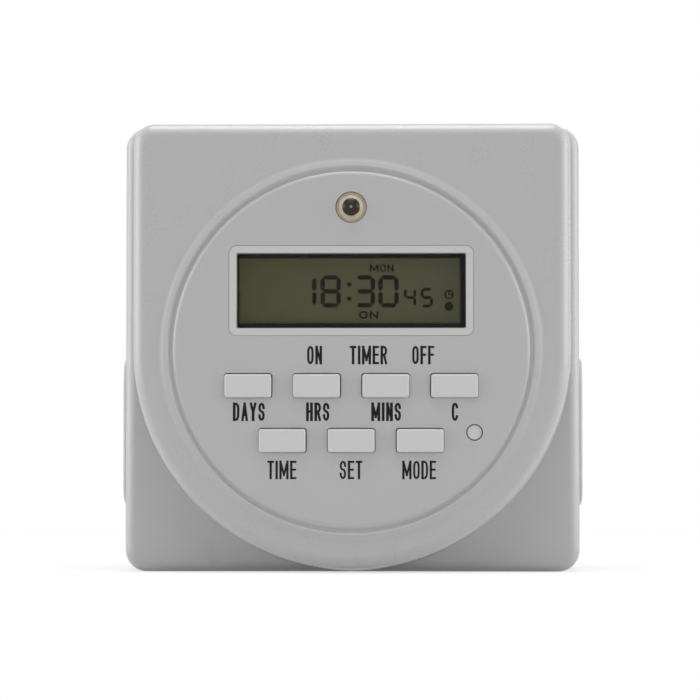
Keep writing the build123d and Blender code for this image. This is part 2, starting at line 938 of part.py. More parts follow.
def relay_transistor():
    flat_side = box_outline(
        -transistor_radius, transistor_radius, -transistor_radius, transistor_flat
    )
    outline = Pos(*on_board(transistor_place)) * (Circle(transistor_radius) & flat_side)
    return slab(outline, power_board_front, power_board_front + transistor_height)


def ribbon_header():
    outline = Pos(*on_board(header_place)) * Rectangle(header_width, header_thickness)
    return slab(outline, power_board_front, power_board_front + header_height)


# Flat ribbon that leaves the header, bows and lands on the back of the control board
def ribbon_cable():
    x, z = on_board(header_place)
    start = -power_board_front - header_height
    end = -board_back
    landing = ring_axis + ribbon_landing

    def edge(offset):
        middle = ((start + end) / 2, (z + landing) / 2 + ribbon_bow + offset)
        return ThreePointArc((start, z + offset), middle, (end, landing + offset))

    upper = edge(ribbon_thickness / 2)
    lower = edge(-ribbon_thickness / 2)
    band = make_face([upper, Line(upper @ 1, lower @ 1), lower, Line(lower @ 0, upper @ 0)])
    return extrude(Plane.YZ.offset(x - ribbon_width / 2) * band, ribbon_width, dir=(1, 0, 0))


# A lead rises beside a strip or tail and turns down on to the power board
def lead(x, depth, start):
    landing = power_board_bottom + lead_landing
    drop = depth - power_board_front
    bend = min(lead_bend, drop)
    rise = Line((-depth, start), (-depth, landing - bend))
    turn = JernArc((-depth, landing - bend), (0, 1), radius=bend, arc_size=-quarter_turn)
    path = Curve() + [rise, turn]
    if drop > bend:
        path += Line(turn @ 1, (-power_board_front, landing))
    placed = Plane.YZ.offset(x) * path
    section = Plane(origin=(x, -depth, start), z_dir=(0, 0, 1)) * Circle(lead_radius)
    return sweep(section, placed)


case_screws = [
    screw(x, z, case_screw_radius, case_screw_length, case_well_depth, case_screw_head_height, 1)
    for x, z in post_places
]
panel_screws = [
    screw(x, ring_axis + height, panel_screw_radius, panel_screw_length, board_back, screw_head_height, 1)
    for x, height in panel_post_places
]
board_screws = [
    screw(x, z, board_screw_radius, board_screw_length, power_board_front, screw_head_height, -1)
    for x, z in board_post_places()
]
retainer_screws = [
    screw(x, z, board_screw_radius, retainer_screw_length, retainer_front, screw_head_height, -1)
    for x, z in retainer_screw_places()
]

# Write every piece
save("front_case", front_case())
save("rear_case", rear_case())
save("control_panel", control_panel())
save("left_outlet", outlet(-1))
save("right_outlet", outlet(1))
save_group("case_screws", case_screws)
save_group("panel_screws", panel_screws)
save_group("board_screws", board_screws)
save_group("retainer_screws", retainer_screws)

lens = slab(Pos(0, display_axis) * lens_outline(lens_clearance), lens_back, panel_face - lens_sink)
save("display_window", lens)
polariser_width = window_width + 2 * polariser_margin
polariser_height = window_height + 2 * polariser_margin
save(
    "lcd_front_polariser",
    display_layer(polariser_width, polariser_height, front_glass_front, display_front),
)
save("lcd_front_glass", display_layer(glass_width, glass_height, rear_glass_front, front_glass_front))
save("lcd_rear_glass", display_layer(glass_width, rear_glass_height, reflector_front, rear_glass_front))
save(
    "lcd_reflector",
    display_layer(glass_width, rear_glass_height, reflector_front - reflector_thickness, reflector_front),
)
save("lcd_frame", lcd_frame())
save_group("zebra_connectors", [zebra(1), zebra(-1)])
save("indicator_led", indicator_lamp())

save("control_board", control_board())
save("processor_blob", processor_blob())
save("timing_crystal", timing_crystal())
save("backup_battery", backup_battery())
save_group("battery_tabs", battery_tabs())

save("keypad_mat", keypad_mat())
for name, (x, z) in key_places.items():
    save(f"key_{name}", key_cap(x, z))
    save(f"pill_{name}", rod(x, z, pill_radius, pill_back, pill_front))
save("reset_button", reset_cap())
save("pill_reset", rod(*reset_place, pill_radius, pill_back, pill_front))

save("line_blade", blade(1))
save("neutral_blade", blade(-1))
save("ground_pin", ground_pin())
save("blade_retainer", blade_retainer())
neutral_bridge_top = bridge_gap / 2 + bridge_height
save("neutral_strip", blade_strip(-1, neutral_bends, bridge_gap / 2, neutral_bridge_top))
save("line_strip", blade_strip(1, line_bends, -neutral_bridge_top, -bridge_gap / 2))
save("ground_strip", ground_strip())

save("power_board", power_board())
save("relay", block_on_board(relay_place, relay_outline, relay_height, relay_edge))
save("dropper_capacitor", block_on_board(dropper_place, dropper_outline, dropper_height, dropper_edge))
save("reservoir_capacitor", rod_on_board(reservoir_place, reservoir_radius, reservoir_height))
save("varistor", varistor())
save_group("rectifier_diodes", rectifier_diodes())
bleed_resistors = [
    lying_cylinder(place, resistor_radius, resistor_length, quarter_turn)
    for place in resistor_places
]
save_group("bleed_resistors", bleed_resistors)
save("relay_transistor", relay_transistor())
save("ribbon_header", ribbon_header())
save("ribbon_cable", ribbon_cable())

line_lead_depth = power_board_front + lead_board_gap + lead_radius
neutral_lead_across = neutral_lead_share * power_board_half
switched_lead_across = switched_lead_share * power_board_half
save("line_lead", lead(blade_spacing / 2, line_lead_depth, tail_width / 2))
save("neutral_lead", lead(neutral_lead_across, near_depth, neutral_bridge_top))
save("switched_lead", lead(switched_lead_across, near_depth, -bridge_gap / 2))
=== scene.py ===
import math

import bpy
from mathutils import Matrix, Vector


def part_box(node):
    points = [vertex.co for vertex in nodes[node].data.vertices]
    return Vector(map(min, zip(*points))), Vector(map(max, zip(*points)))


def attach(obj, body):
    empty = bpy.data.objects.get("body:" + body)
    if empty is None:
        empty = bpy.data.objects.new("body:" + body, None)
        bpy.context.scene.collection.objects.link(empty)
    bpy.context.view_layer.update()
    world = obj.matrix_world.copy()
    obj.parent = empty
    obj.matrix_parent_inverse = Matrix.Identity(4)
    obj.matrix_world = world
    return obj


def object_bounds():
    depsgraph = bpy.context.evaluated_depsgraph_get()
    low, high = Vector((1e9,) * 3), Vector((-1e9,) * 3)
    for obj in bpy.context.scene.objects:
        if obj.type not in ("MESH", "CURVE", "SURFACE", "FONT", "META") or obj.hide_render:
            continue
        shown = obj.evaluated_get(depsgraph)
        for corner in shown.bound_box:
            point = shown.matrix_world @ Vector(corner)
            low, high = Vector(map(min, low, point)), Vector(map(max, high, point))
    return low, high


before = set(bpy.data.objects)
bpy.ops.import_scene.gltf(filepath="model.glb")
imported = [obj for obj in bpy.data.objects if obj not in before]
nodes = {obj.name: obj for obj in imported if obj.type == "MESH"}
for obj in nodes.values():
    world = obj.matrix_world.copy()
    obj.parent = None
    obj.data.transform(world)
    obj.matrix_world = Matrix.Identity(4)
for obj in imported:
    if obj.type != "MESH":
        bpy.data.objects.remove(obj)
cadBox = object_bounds()
mm = 0.001
fineDetail, plainDetail, softDetail = 3.0, 2.0, 1.0  # of noise patterns
print("frame loaded:", len(nodes), "pieces")

# In millimetres: a depth is in front of the rear face, and an axis is above the frame's origin
panelLow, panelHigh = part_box("control_panel")
panelFace = -panelLow.y / mm
panelAxis = (panelLow.z + panelHigh.z) / 2 / mm
displayFace = -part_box("lcd_front_polariser")[0].y / mm
lampLow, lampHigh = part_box("indicator_led")
lampAxis = (lampLow.z + lampHigh.z) / 2 / mm


# Materials: a wire is one output of a node, so that shader maths reads as maths
class Wire:
    def __init__(self, tree, socket):
        self.tree = tree
        self.socket = socket

    def maths(self, operation, first, second):
        return self.tree.node("ShaderNodeMath", {"operation": operation}, {0: first, 1: second})

    def __add__(self, other):
        return self.maths("ADD", self, other)

    def __radd__(self, other):
        return self.maths("ADD", other, self)

    def __sub__(self, other):
        return self.maths("SUBTRACT", self, other)

    def __rsub__(self, other):
        return self.maths("SUBTRACT", other, self)

    def __mul__(self, other):
        return self.maths("MULTIPLY", self, other)

    def __rmul__(self, other):
        return self.maths("MULTIPLY", other, self)

    def __abs__(self):
        return self.maths("ABSOLUTE", self, 0.0)

    def within(self):  # held between 0 and 1
        return self.maths("MAXIMUM", self.maths("MINIMUM", self, 1.0), 0.0)


# Node trees of materials and of the world
class Tree:
    def __init__(self, owner):
        owner.use_nodes = True
        self.owner = owner
        self.nodes = owner.node_tree.nodes
        self.links = owner.node_tree.links
        self.nodes.clear()

    def node(self, kind, settings=None, inputs=None, output=0):
        made = self.nodes.new(kind)
        for name, value in (settings or {}).items():
            setattr(made, name, value)
        for name, value in (inputs or {}).items():
            if isinstance(value, Wire):
                self.links.new(value.socket, made.inputs[name])
            else:
                made.inputs[name].default_value = value
        return Wire(self, made.outputs[output]) if made.outputs else None

    def outputs(self, wire):  # every output of the node that a wire comes from
        return {socket.name: Wire(self, socket) for socket in wire.socket.node.outputs}

    def place(self, centre=(0, 0, 0), stretch=(1, 1, 1)):  # Object coordinates, centre in mm
        spot = self.node("ShaderNodeTexCoord", output="Object")
        shift = tuple(-value * mm * factor for value, factor in zip(centre, stretch))
        wanted = {"Vector": spot, "Location": shift, "Scale": stretch}
        return self.node("ShaderNodeMapping", {}, wanted)

    def axes(self, centre=(0, 0, 0)):  # distances from a centre, across and up, in metres
        parts = self.outputs(self.node("ShaderNodeSeparateXYZ", {}, {"Vector": self.place(centre)}))
        return parts["X"], parts["Z"]

    def length(self, vector):
        return self.node("ShaderNodeVectorMath", {"operation": "LENGTH"}, {0: vector}, "Value")

    def noise(self, size, detail=plainDetail, stretch=(1, 1, 1)):  # size of the pattern in mm
        wanted = {"Vector": self.place(stretch=stretch), "Scale": 1 / (size * mm), "Detail": detail}
        return self.node("ShaderNodeTexNoise", {}, wanted, "Fac")

    def blend(self, share, first, second):
        return self.node("ShaderNodeMix", {"data_type": "RGBA"}, {0: share, 6: first, 7: second}, 2)

    def bump(self, height, depth, strength=1.0):  # depth in mm
        wanted = {"Height": height, "Distance": depth * mm, "Strength": strength}
        return self.node("ShaderNodeBump", {}, wanted, "Normal")

    def surface(self, **inputs):
        named = {name.replace("_", " "): value for name, value in inputs.items()}
        shader = self.node("ShaderNodeBsdfPrincipled", {}, named)
        self.node("ShaderNodeOutputMaterial", {}, {"Surface": shader})
        return self.owner


def newMaterial(name):
    return Tree(bpy.data.materials.new(name))


def tone(colour, factor):  # a darker or lighter shade of the same colour
    return tuple(min(1.0, channel * factor) for channel in colour[:3]) + (1.0,)


def dress(names, material):  # gives CAD nodes their finish
    for name in names:
        for slot in nodes[name].material_slots:
            slot.material = material


# Moulded plastics: a fine satin grain, with faint clouds and flow marks
mouldings = {
    # colour, roughness, then the size and the depth of the grain in mm
    "housingPlastic": ((0.430, 0.431, 0.433), 0.28, 0.32, 0.002),
    "panelPlastic": ((0.430, 0.431, 0.433), 0.26, 0.28, 0.002),
    "keyPlastic": ((0.555, 0.556, 0.557), 0.34, 0.25, 0.004),
    "resetPlastic": ((0.640, 0.641, 0.642), 0.34, 0.25, 0.004),
    "outletPlastic": ((0.430, 0.431, 0.433), 0.30, 0.30, 0.003),
    "naturalResin": ((0.74, 0.73, 0.70), 0.45, 0.30, 0.005),
    "phenolic": ((0.045, 0.034, 0.028), 0.42, 0.50, 0.010),
    "siliconeRubber": ((0.33, 0.34, 0.35), 0.62, 0.20, 0.004),
}
mouldingLook = {
    "grainStrength": 0.4,
    "cloudSize": 14.0,
    "flowSize": 5.0,
    "flowStretch": (1, 1, 0.35),
    "cloudShare": 0.7,
    "tones": (0.985, 1.015),
    "unevenGloss": 0.03,
    "refraction": 1.5,
}


def moulding(name):
    look = mouldingLook
    colour, roughness, grainSize, grainDepth = mouldings[name]
    tree = newMaterial(name)
    grain = tree.noise(grainSize, fineDetail)
    cloud = tree.noise(look["cloudSize"])
    flow = tree.noise(look["flowSize"], softDetail, look["flowStretch"])
    share = (look["cloudShare"] * cloud + (1 - look["cloudShare"]) * flow).within()
    uneven = look["unevenGloss"]
    dark, light = (tone(colour, factor) for factor in look["tones"])
    return tree.surface(
        Base_Color=tree.blend(share, dark, light),
        Roughness=roughness + (flow - 0.5) * uneven + (grain - 0.5) * uneven,
        Normal=tree.bump(grain, grainDepth, look["grainStrength"]),
        IOR=look["refraction"],
    )


keyNodes = [name for name in nodes if name.startswith("key_")]
housingPlastic = moulding("housingPlastic")
dress(["front_case", "rear_case"], housingPlastic)
dress(["control_panel"], moulding("panelPlastic"))
dress(["left_outlet", "right_outlet"], moulding("outletPlastic"))
dress(keyNodes, moulding("keyPlastic"))
dress(["reset_button"], moulding("resetPlastic"))
dress(["lcd_frame", "ribbon_header"], moulding("naturalResin"))
dress(["blade_retainer"], moulding("phenolic"))
dress(["keypad_mat"], moulding("siliconeRubber"))
print("mouldings finished")


# Display: clear lens with a printed border, and liquid crystal glass in an olive tint, with painted
# shade along the window's edges
display = {
    "axis": 10.9,
    "windowWidth": 42.4,
    "windowHeight": 13.95,
    "inkHeight": 0.012,
    "inkLift": 0.002,
    "ink": (0.008, 0.008, 0.006, 1.0),
}
lensLook = {
    "edgeSoftness": 0.12,
    "borderColour": (0.520, 0.520, 0.516, 1.0),
    "borderAlpha": 1.0,
    "borderDullness": 0.18,
    "clearColour": (0.01, 0.01, 0.01, 1.0),
    "clearAlpha": 0.05,
    "roughness": 0.10,
    "haze": 0.05,
    "hazeSize": 6.0,
    "refraction": 1.49,
}
glassLook = {
    "litLeft": (0.094, 0.091, 0.041, 1.0),
    "litRight": (0.092, 0.094, 0.054, 1.0),
    # colour of the painted shade along the window's edges
    "shade": (0.004, 0.004, 0.003, 1.0),
    # widths in mm of the painted shade along the window's edges: left, right, bottom, top
    "paintedShadeEdges": (0.25, 0.95, 0.90, 0.75),
    "paintedShadeSoftness": 0.35,
    "cloudSize": 9.0,
    "cloudShare": 0.35,
    "cloudTone": 0.75,
    "roughness": 0.22,
    "unevenGloss": 0.08,
    "shine": 0.15,
}
reflectorLook = {
    "dark": (0.16, 0.17, 0.11, 1.0),
    "light": (0.22, 0.23, 0.15, 1.0),
    "brushSize": 0.4,
    "brushStretch": (1, 1, 12),
    "roughness": 0.3,
    "unevenGloss": 0.15,
    "metallic": 0.6,
}
displayAxis = panelAxis + display["axis"]


# 1 inside the window, fading to 0 outside it; margins shrink it at the left, right, bottom and top
def windowMask(tree, margins, softness):
    left, right, bottom, top = margins
    x, z = tree.axes(((left - right) / 2, 0, displayAxis + (bottom - top) / 2))
    halfAcross = (display["windowWidth"] - left - right) / 2 * mm
    halfUp = (display["windowHeight"] - bottom - top) / 2 * mm
    sharpness = 1 / (softness * mm)
    insideX = ((halfAcross - abs(x)) * sharpness).within()
    insideZ = ((halfUp - abs(z)) * sharpness).within()
    return insideX * insideZ


def lensFinish():
    look = lensLook
    tree = newMaterial("printedLens")
    clear = windowMask(tree, (0, 0, 0, 0), look["edgeSoftness"])
    haze = tree.noise(look["hazeSize"])
    return tree.surface(
        Base_Color=tree.blend(clear, look["borderColour"], look["clearColour"]),
        Roughness=look["roughness"] + look["haze"] * haze + (1 - clear) * look["borderDullness"],
        Alpha=look["borderAlpha"] + (look["clearAlpha"] - look["borderAlpha"]) * clear,
        IOR=look["refraction"],
    )


def displayGlassFinish():
    look = glassLook
    tree = newMaterial("displayGlass")
    # lit is 0 where shade is painted along the window's edges, and 1 elsewhere
    lit = windowMask(tree, look["paintedShadeEdges"], look["paintedShadeSoftness"])
    across = (tree.axes()[0] * (1 / (display["windowWidth"] * mm)) + 0.5).within()
    cloud = tree.noise(look["cloudSize"])
    tint = tree.blend(across, look["litLeft"], look["litRight"])
    tint = tree.blend(look["cloudShare"] * cloud, tint, tone(look["litLeft"], look["cloudTone"]))
    return tree.surface(
        # painted shade: the glass colour turns dark towards the window's edges
        Base_Color=tree.blend(lit, look["shade"], tint),
        Roughness=look["roughness"] + look["unevenGloss"] * cloud,
        Specular_IOR_Level=look["shine"],
    )


def reflectorFinish():
    look = reflectorLook
    tree = newMaterial("reflectorFilm")
    brushed = tree.noise(look["brushSize"], stretch=look["brushStretch"])
    return tree.surface(
        Base_Color=tree.blend(brushed, look["dark"], look["light"]),
        Roughness=look["roughness"] + look["unevenGloss"] * brushed,
        Metallic=look["metallic"],
    )


dress(["display_window"], lensFinish())
dress(["lcd_front_polariser", "lcd_front_glass", "lcd_rear_glass"], displayGlassFinish())
dress(["lcd_reflector"], reflectorFinish())
print("display layers finished")


# Modelling by operators
def only(piece):  # selects one object and nothing else
    bpy.ops.object.select_all(action="DESELECT")
    piece.select_set(True)
    bpy.context.view_layer.objects.active = piece


def settle(piece):  # puts the piece's place, turn and size into its mesh
    only(piece)
    bpy.ops.object.transform_apply(location=True, rotation=True, scale=True)


def moved(piece, x, depth, z):  # moves a settled piece, in mm
    piece.location = (x * mm, -depth * mm, z * mm)
    settle(piece)
    return piece


def copied(piece):
    twin = piece.copy()
    twin.data = piece.data.copy()
    bpy.context.scene.collection.objects.link(twin)
    return twin


# Picks vertices by their place, or faces by their normal, then runs operators on them
def inEdit(piece, chosen, *actions, kind="VERT"):
    only(piece)
    bpy.ops.object.mode_set(mode="EDIT")
    bpy.ops.mesh.select_mode(type=kind)
    bpy.ops.mesh.select_all(action="DESELECT")
    bpy.ops.object.mode_set(mode="OBJECT")
    if kind == "FACE":
        for face in piece.data.polygons:
            face.select = chosen(face.normal)
    else:
        for vertex in piece.data.vertices:
            vertex.select = chosen(vertex.co)
    bpy.ops.object.mode_set(mode="EDIT")
    for action in actions:
        action()
    bpy.ops.object.mode_set(mode="OBJECT")


def joined(pieces, name):
    bpy.ops.object.select_all(action="DESELECT")
    for piece in pieces:
        piece.select_set(True)
    bpy.context.view_layer.objects.active = pieces[0]
    bpy.ops.object.join()
    pieces[0].name = name
    return pieces[0]


def onBody(piece, material, body):
    piece.data.materials.clear()
    piece.data.materials.append(material)
    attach(piece, body)


# Soft bead round the panel: it closes the fine gap to the panel, and stands lower than it
panelBead = {
    # radius, then height above the case's face, from the panel's rounded edge to the outer foot
    "profile": (
        (33.04, -0.08), (33.04, 0.16), (33.14, 0.09), (33.25, 0.03), (33.38, 0.01),
        (33.52, 0.05), (33.66, 0.17), (33.79, 0.31), (33.91, 0.43), (34.04, 0.49),
        (34.18, 0.485), (34.31, 0.43), (34.46, 0.375), (34.66, 0.335), (34.85, 0.262),
        (35.05, 0.165), (35.25, 0.075), (35.50, 0.02), (35.75, -0.02), (35.75, -0.10),
        (33.60, -0.10),
    ),
    "panelProud": 0.7,
    "steps": 160,
    "mergeWithin": 0.002,
    "smoothAngle": 35,
}


def beadRing():
    foot = panelFace - panelBead["panelProud"]
    profile = panelBead["profile"]
    places = [Vector((radius, -foot - height, panelAxis)) * mm for radius, height in profile]
    near = panelBead["mergeWithin"] * mm
    bpy.ops.object.select_all(action="DESELECT")
    bpy.ops.mesh.primitive_plane_add(size=mm, location=places[0])
    piece = bpy.context.object
    settle(piece)
    bpy.ops.object.mode_set(mode="EDIT")
    bpy.ops.mesh.select_all(action="SELECT")
    bpy.ops.mesh.merge(type="CENTER")
    for here, there in zip(places, places[1:] + places[:1]):
        bpy.ops.mesh.extrude_region_move(TRANSFORM_OT_translate={"value": there - here})
    bpy.ops.mesh.select_all(action="SELECT")
    bpy.ops.mesh.remove_doubles(threshold=near)
    bpy.ops.mesh.spin(
        steps=panelBead["steps"],
        angle=2 * math.pi,
        center=(0, 0, panelAxis * mm),
        axis=(0, 1, 0),
    )
    bpy.ops.mesh.select_all(action="SELECT")
    bpy.ops.mesh.remove_doubles(threshold=near)
    bpy.ops.mesh.normals_make_consistent(inside=False)
    bpy.ops.object.mode_set(mode="OBJECT")
    bpy.ops.object.shade_smooth_by_angle(angle=math.radians(panelBead["smoothAngle"]))
    piece.name = "panel_bead"
    return piece


onBody(beadRing(), housingPlastic, "timer")
print("bead finished")


# Ink of the display's figures and of the printed words
inkLook = {
    "wearSize": 0.35,
    "wornTone": 1.8,
    "roughness": 0.6,
    "unevenGloss": 0.1,
    "shine": 0.08,
}


def inkFinish(name, colour):
    look = inkLook
    tree = newMaterial(name)
    wear = tree.noise(look["wearSize"], fineDetail)
    return tree.surface(
        Base_Color=tree.blend(wear, colour, tone(colour, look["wornTone"])),
        Roughness=look["roughness"] + look["unevenGloss"] * wear,
        Specular_IOR_Level=look["shine"],
    )


# Letters drawn as strokes in a box one wide and one high
def bow(x, z, across, up, start, end, steps=10):  # points on an arc, between two angles
    turns = [math.radians(start + (end - start) * step / steps) for step in range(steps + 1)]
    return [(x + across * math.cos(turn), z + up * math.sin(turn)) for turn in turns]


upperBow = bow(0.5, 0.72, 0.5, 0.28, 0, 180)
lowerBow = bow(0.5, 0.28, 0.5, 0.28, 180, 360)
glyphs = {
    # share of the full letter width, then strokes
    "A": (1.05, [(0, 0), (0.5, 1)], [(1, 0), (0.5, 1)], [(0.2, 0.3), (0.8, 0.3)]),
    "C": (1.0, upperBow[1:] + lowerBow[:-1]),
    "D": (1.0, [(0, 0), (0, 1)], [(0, 1), (0.4, 1)] + bow(0.45, 0.68, 0.55, 0.32, 80, 0)
          + bow(0.45, 0.32, 0.55, 0.32, 0, -80) + [(0.4, 0), (0, 0)]),
    "E": (0.9, [(0, 0), (0, 1)], [(0, 1), (1, 1)], [(0, 0.52), (0.9, 0.52)], [(0, 0), (1, 0)]),
    "F": (0.85, [(0, 0), (0, 1)], [(0, 1), (1, 1)], [(0, 0.52), (0.9, 0.52)]),
    "H": (1.0, [(0, 0), (0, 1)], [(1, 0), (1, 1)], [(0, 0.52), (1, 0.52)]),
    "I": (0.0, [(0, 0), (0, 1)]),
    "M": (1.55, [(0, 0), (0, 1)], [(0, 1), (0.5, 0.2)], [(1, 1), (0.5, 0.2)], [(1, 0), (1, 1)]),
    "N": (1.0, [(0, 0), (0, 1)], [(0, 1), (1, 0)], [(1, 0), (1, 1)]),
    "O": (1.0, upperBow + lowerBow + [upperBow[0]]),
    "R": (1.0, [(0, 0), (0, 1)], [(0, 1), (0.45, 1)] + bow(0.5, 0.76, 0.5, 0.24, 80, -80)
          + [(0.45, 0.52), (0, 0.52)], [(0.55, 0.5), (1, 0)]),
    "S": (1.0, bow(0.5, 0.76, 0.5, 0.24, 0, 250) + bow(0.5, 0.26, 0.5, 0.26, 70, -180)),
    "T": (0.95, [(0, 1), (1, 1)], [(0.5, 1), (0.5, 0)]),
    "Y": (1.05, [(0, 1), (0.5, 0.45)], [(1, 1), (0.5, 0.45)], [(0.5, 0.45), (0.5, 0)]),
}


# Centred words as flat strokes on a face that looks along -Y, in mm
def lettering(rows, letterWidth, letterHeight, stroke, gap, depth, thickness):
    curve = bpy.data.curves.new("strokes", "CURVE")
    curve.dimensions = "3D"
    curve.bevel_depth = stroke / 2 * mm
    curve.bevel_resolution = 1
    curve.use_fill_caps = True
    inner = letterHeight - stroke
    advance = gap + stroke
    for word, x, z in rows:
        widths = [glyphs[letter][0] * (letterWidth - stroke) for letter in word]
        start = x - (sum(widths) + (len(word) - 1) * advance) / 2
        for letter, width in zip(word, widths):
            for points in glyphs[letter][1:]:
                drawn = [
                    Vector((start + across * width, z + (up - 0.5) * inner))
                    for across, up in points
                ]
                closed = (drawn[0] - drawn[-1]).length < stroke / 10  # a loop, or an open stroke
                if closed:
                    drawn.pop()
                else:
                    drawn[0] += (drawn[0] - drawn[1]).normalized() * stroke / 2
                    drawn[-1] += (drawn[-1] - drawn[-2]).normalized() * stroke / 2
                spline = curve.splines.new("POLY")
                spline.points.add(len(drawn) - 1)
                spline.use_cyclic_u = closed
                for point, place in zip(spline.points, drawn):
                    point.co = (place.x * mm, 0, place.y * mm, 1)
            start += width + advance
    piece = bpy.data.objects.new("strokes", curve)
    bpy.context.scene.collection.objects.link(piece)
    only(piece)
    bpy.ops.object.convert(target="MESH")
    bpy.ops.transform.resize(value=(1, 2 * thickness / stroke, 1), center_override=(0, 0, 0))
    settle(piece)
    return moved(piece, 0, depth, 0)


# What the display shows, in mm from the middle of the window
readout = {
    "numbers": (
        # digits, where each one stands across, their middle's height and their size
        ("18", (-8.35, -3.85), -0.05, "large"),
        ("30", (2.48, 6.86), -0.05, "large"),
        ("45", (10.85, 13.95), -1.20, "small"),
    ),
    "large": {"width": 2.95, "height": 5.15, "bar": 0.82, "gap": 0.10},
    "small": {"width": 1.75, "height": 3.1, "bar": 0.54, "gap": 0.10},
    "words": (
        # word, its place across and up, then letter width and height, stroke and gap
        ("MON", 5.6, 4.25, (1.15, 1.45, 0.30, 0.25)),
        ("ON", 3.2, -4.40, (1.60, 1.45, 0.36, 0.35)),
    ),
    "colon": {"x": -0.42, "z": -0.05, "spread": 1.32, "radius": 0.42},
    "dot": {"x": 18.05, "z": -2.85, "radius": 0.84},
    "dial": {"x": 18.05, "z": -0.65, "radius": 0.88, "rim": 0.30},
    # the dial's hands: width, then length and shift as shares of its radius
    "hands": {"width": 0.26, "length": 0.8, "shift": 0.3},
}
segmentPlaces = {  # across and up, in half sizes of a digit, and whether the bar stands
    "a": (0, 1, False), "b": (1, 0.5, True), "c": (1, -0.5, True), "d": (0, -1, False),
    "e": (-1, -0.5, True), "f": (-1, 0.5, True), "g": (0, 0, False),
}
digitSegments = {
    "0": "abcdef", "1": "bc", "2": "abged", "3": "abgcd", "4": "fgbc",
    "5": "afgcd", "6": "afgedc", "7": "abc", "8": "abcdefg", "9": "abcdfg",
}


def bar(length, thickness, stands):  # a flat bar with pointed ends, facing -Y
    turn = 0 if stands else math.pi / 2
    along = 1 if stands else 0
    bpy.ops.object.select_all(action="DESELECT")
    bpy.ops.mesh.primitive_circle_add(
        vertices=6, radius=mm, fill_type="NGON", rotation=(0, 0, turn)
    )
    piece = bpy.context.object
    settle(piece)
    size = [thickness / 2 / math.sin(math.pi / 3)] * 2  # a six-sided circle is narrower across
    size[along] = length / 2
    bpy.ops.transform.resize(value=(*size, 1), center_override=(0, 0, 0))
    settle(piece)
    shoulder = length / 4 - thickness / 2
    for side in (-1, 1):  # the four side corners go out to where the points begin
        shift = [0, 0, 0]
        shift[along] = side * shoulder * mm
        inEdit(
            piece,
            lambda co: co[along] * side > 0 and abs(co[1 - along]) > thickness / 8 * mm,
            lambda: bpy.ops.transform.translate(value=shift),
        )
    rise = {"value": (0, 0, display["inkHeight"] * mm)}
    inEdit(
        piece,
        lambda co: True,
        lambda: bpy.ops.mesh.extrude_region_move(TRANSFORM_OT_translate=rise),
    )
    piece.rotation_euler = (math.pi / 2, 0, 0)
    settle(piece)
    return piece


def figures(digits, places, z, look, depth):
    level = bar(look["width"] - look["gap"], look["bar"], False)
    upright = bar(look["height"] / 2 - look["gap"], look["bar"], True)
    pieces = []
    for value, x in zip(digits, places):
        for letter in digitSegments[value]:
            across, up, stands = segmentPlaces[letter]
            piece = copied(upright if stands else level)
            sideways = x + across * look["width"] / 2
            upwards = displayAxis + z + up * look["height"] / 2
            pieces.append(moved(piece, sideways, depth, upwards))
    bpy.data.objects.remove(level)
    bpy.data.objects.remove(upright)
    return pieces


def disc(x, z, radius, depth, thickness):
    bpy.ops.object.select_all(action="DESELECT")
    bpy.ops.mesh.primitive_cylinder_add(
        vertices=32, radius=radius * mm, depth=thickness * mm, rotation=(math.pi / 2, 0, 0)
    )
    piece = bpy.context.object
    settle(piece)
    return moved(piece, x, depth + thickness / 2, z)


def ring(x, z, radius, width, depth, thickness):  # a disc whose middle is taken out
    piece = disc(0, 0, radius, 0, thickness)
    inEdit(
        piece,
        lambda normal: abs(normal.y) > 0.9,  # the two flat faces
        lambda: bpy.ops.mesh.inset(thickness=width * mm),
        bpy.ops.mesh.bridge_edge_loops,
        kind="FACE",
    )
    return moved(piece, x, depth, z)


def displayFigures():
    depth = displayFace + display["inkLift"]
    thickness = display["inkHeight"]
    pieces = []
    for digits, places, z, size in readout["numbers"]:
        pieces += figures(digits, places, z, readout[size], depth)
    colon = readout["colon"]
    for side in (-1, 1):
        z = displayAxis + colon["z"] + side * colon["spread"]
        pieces.append(disc(colon["x"], z, colon["radius"], depth, thickness))
    for word, x, z, letters in readout["words"]:
        pieces.append(lettering([(word, x, displayAxis + z)], *letters, depth, thickness))
    dot = readout["dot"]
    pieces.append(disc(dot["x"], displayAxis + dot["z"], dot["radius"], depth, thickness))
    dial, hands = readout["dial"], readout["hands"]
    x, z, radius = dial["x"], displayAxis + dial["z"], dial["radius"]
    pieces.append(ring(x, z, radius, dial["rim"], depth, thickness))
    level, upright = (bar(radius * hands["length"], hands["width"], up) for up in (False, True))
    shift = radius * hands["shift"]
    pieces.append(moved(level, x + shift, depth, z))
    pieces.append(moved(upright, x, depth, z + shift))
    return joined(pieces, "display_figures")


onBody(displayFigures(), inkFinish("displayInk", display["ink"]), "timer")
print("display figures finished")


# Printed words on the panel, in mm from the panel's centre
printing = {
    "rows": (
        # height of the row, its stroke, then each word and its place across
        (-1.0, 0.48, (("ON", -6.75), ("TIMER", 3.2), ("OFF", 13.25))),
        (-11.45, 0.52, (("DAYS", -18.85), ("HRS", -6.15), ("MINS", 6.45), ("C", 19.1))),
        (-22.15, 0.44, (("TIME", -12.75), ("SET", -0.05), ("MODE", 12.5))),
    ),
    "letterWidth": 1.26,
    "letterHeight": 3.42,
    "gap": 0.27,
    "height": 0.012,
    "ink": (0.010, 0.010, 0.011, 1.0),
}


def panelPrinting():
    pieces = []
    for z, stroke, row in printing["rows"]:
        words = [(word, x, panelAxis + z) for word, x in row]
        size = printing["letterWidth"], printing["letterHeight"], stroke, printing["gap"]
        pieces.append(lettering(words, *size, panelFace, printing["height"]))
    return joined(pieces, "panel_printing")


onBody(panelPrinting(), inkFinish("printedInk", printing["ink"]), "timer")
print("printing finished")
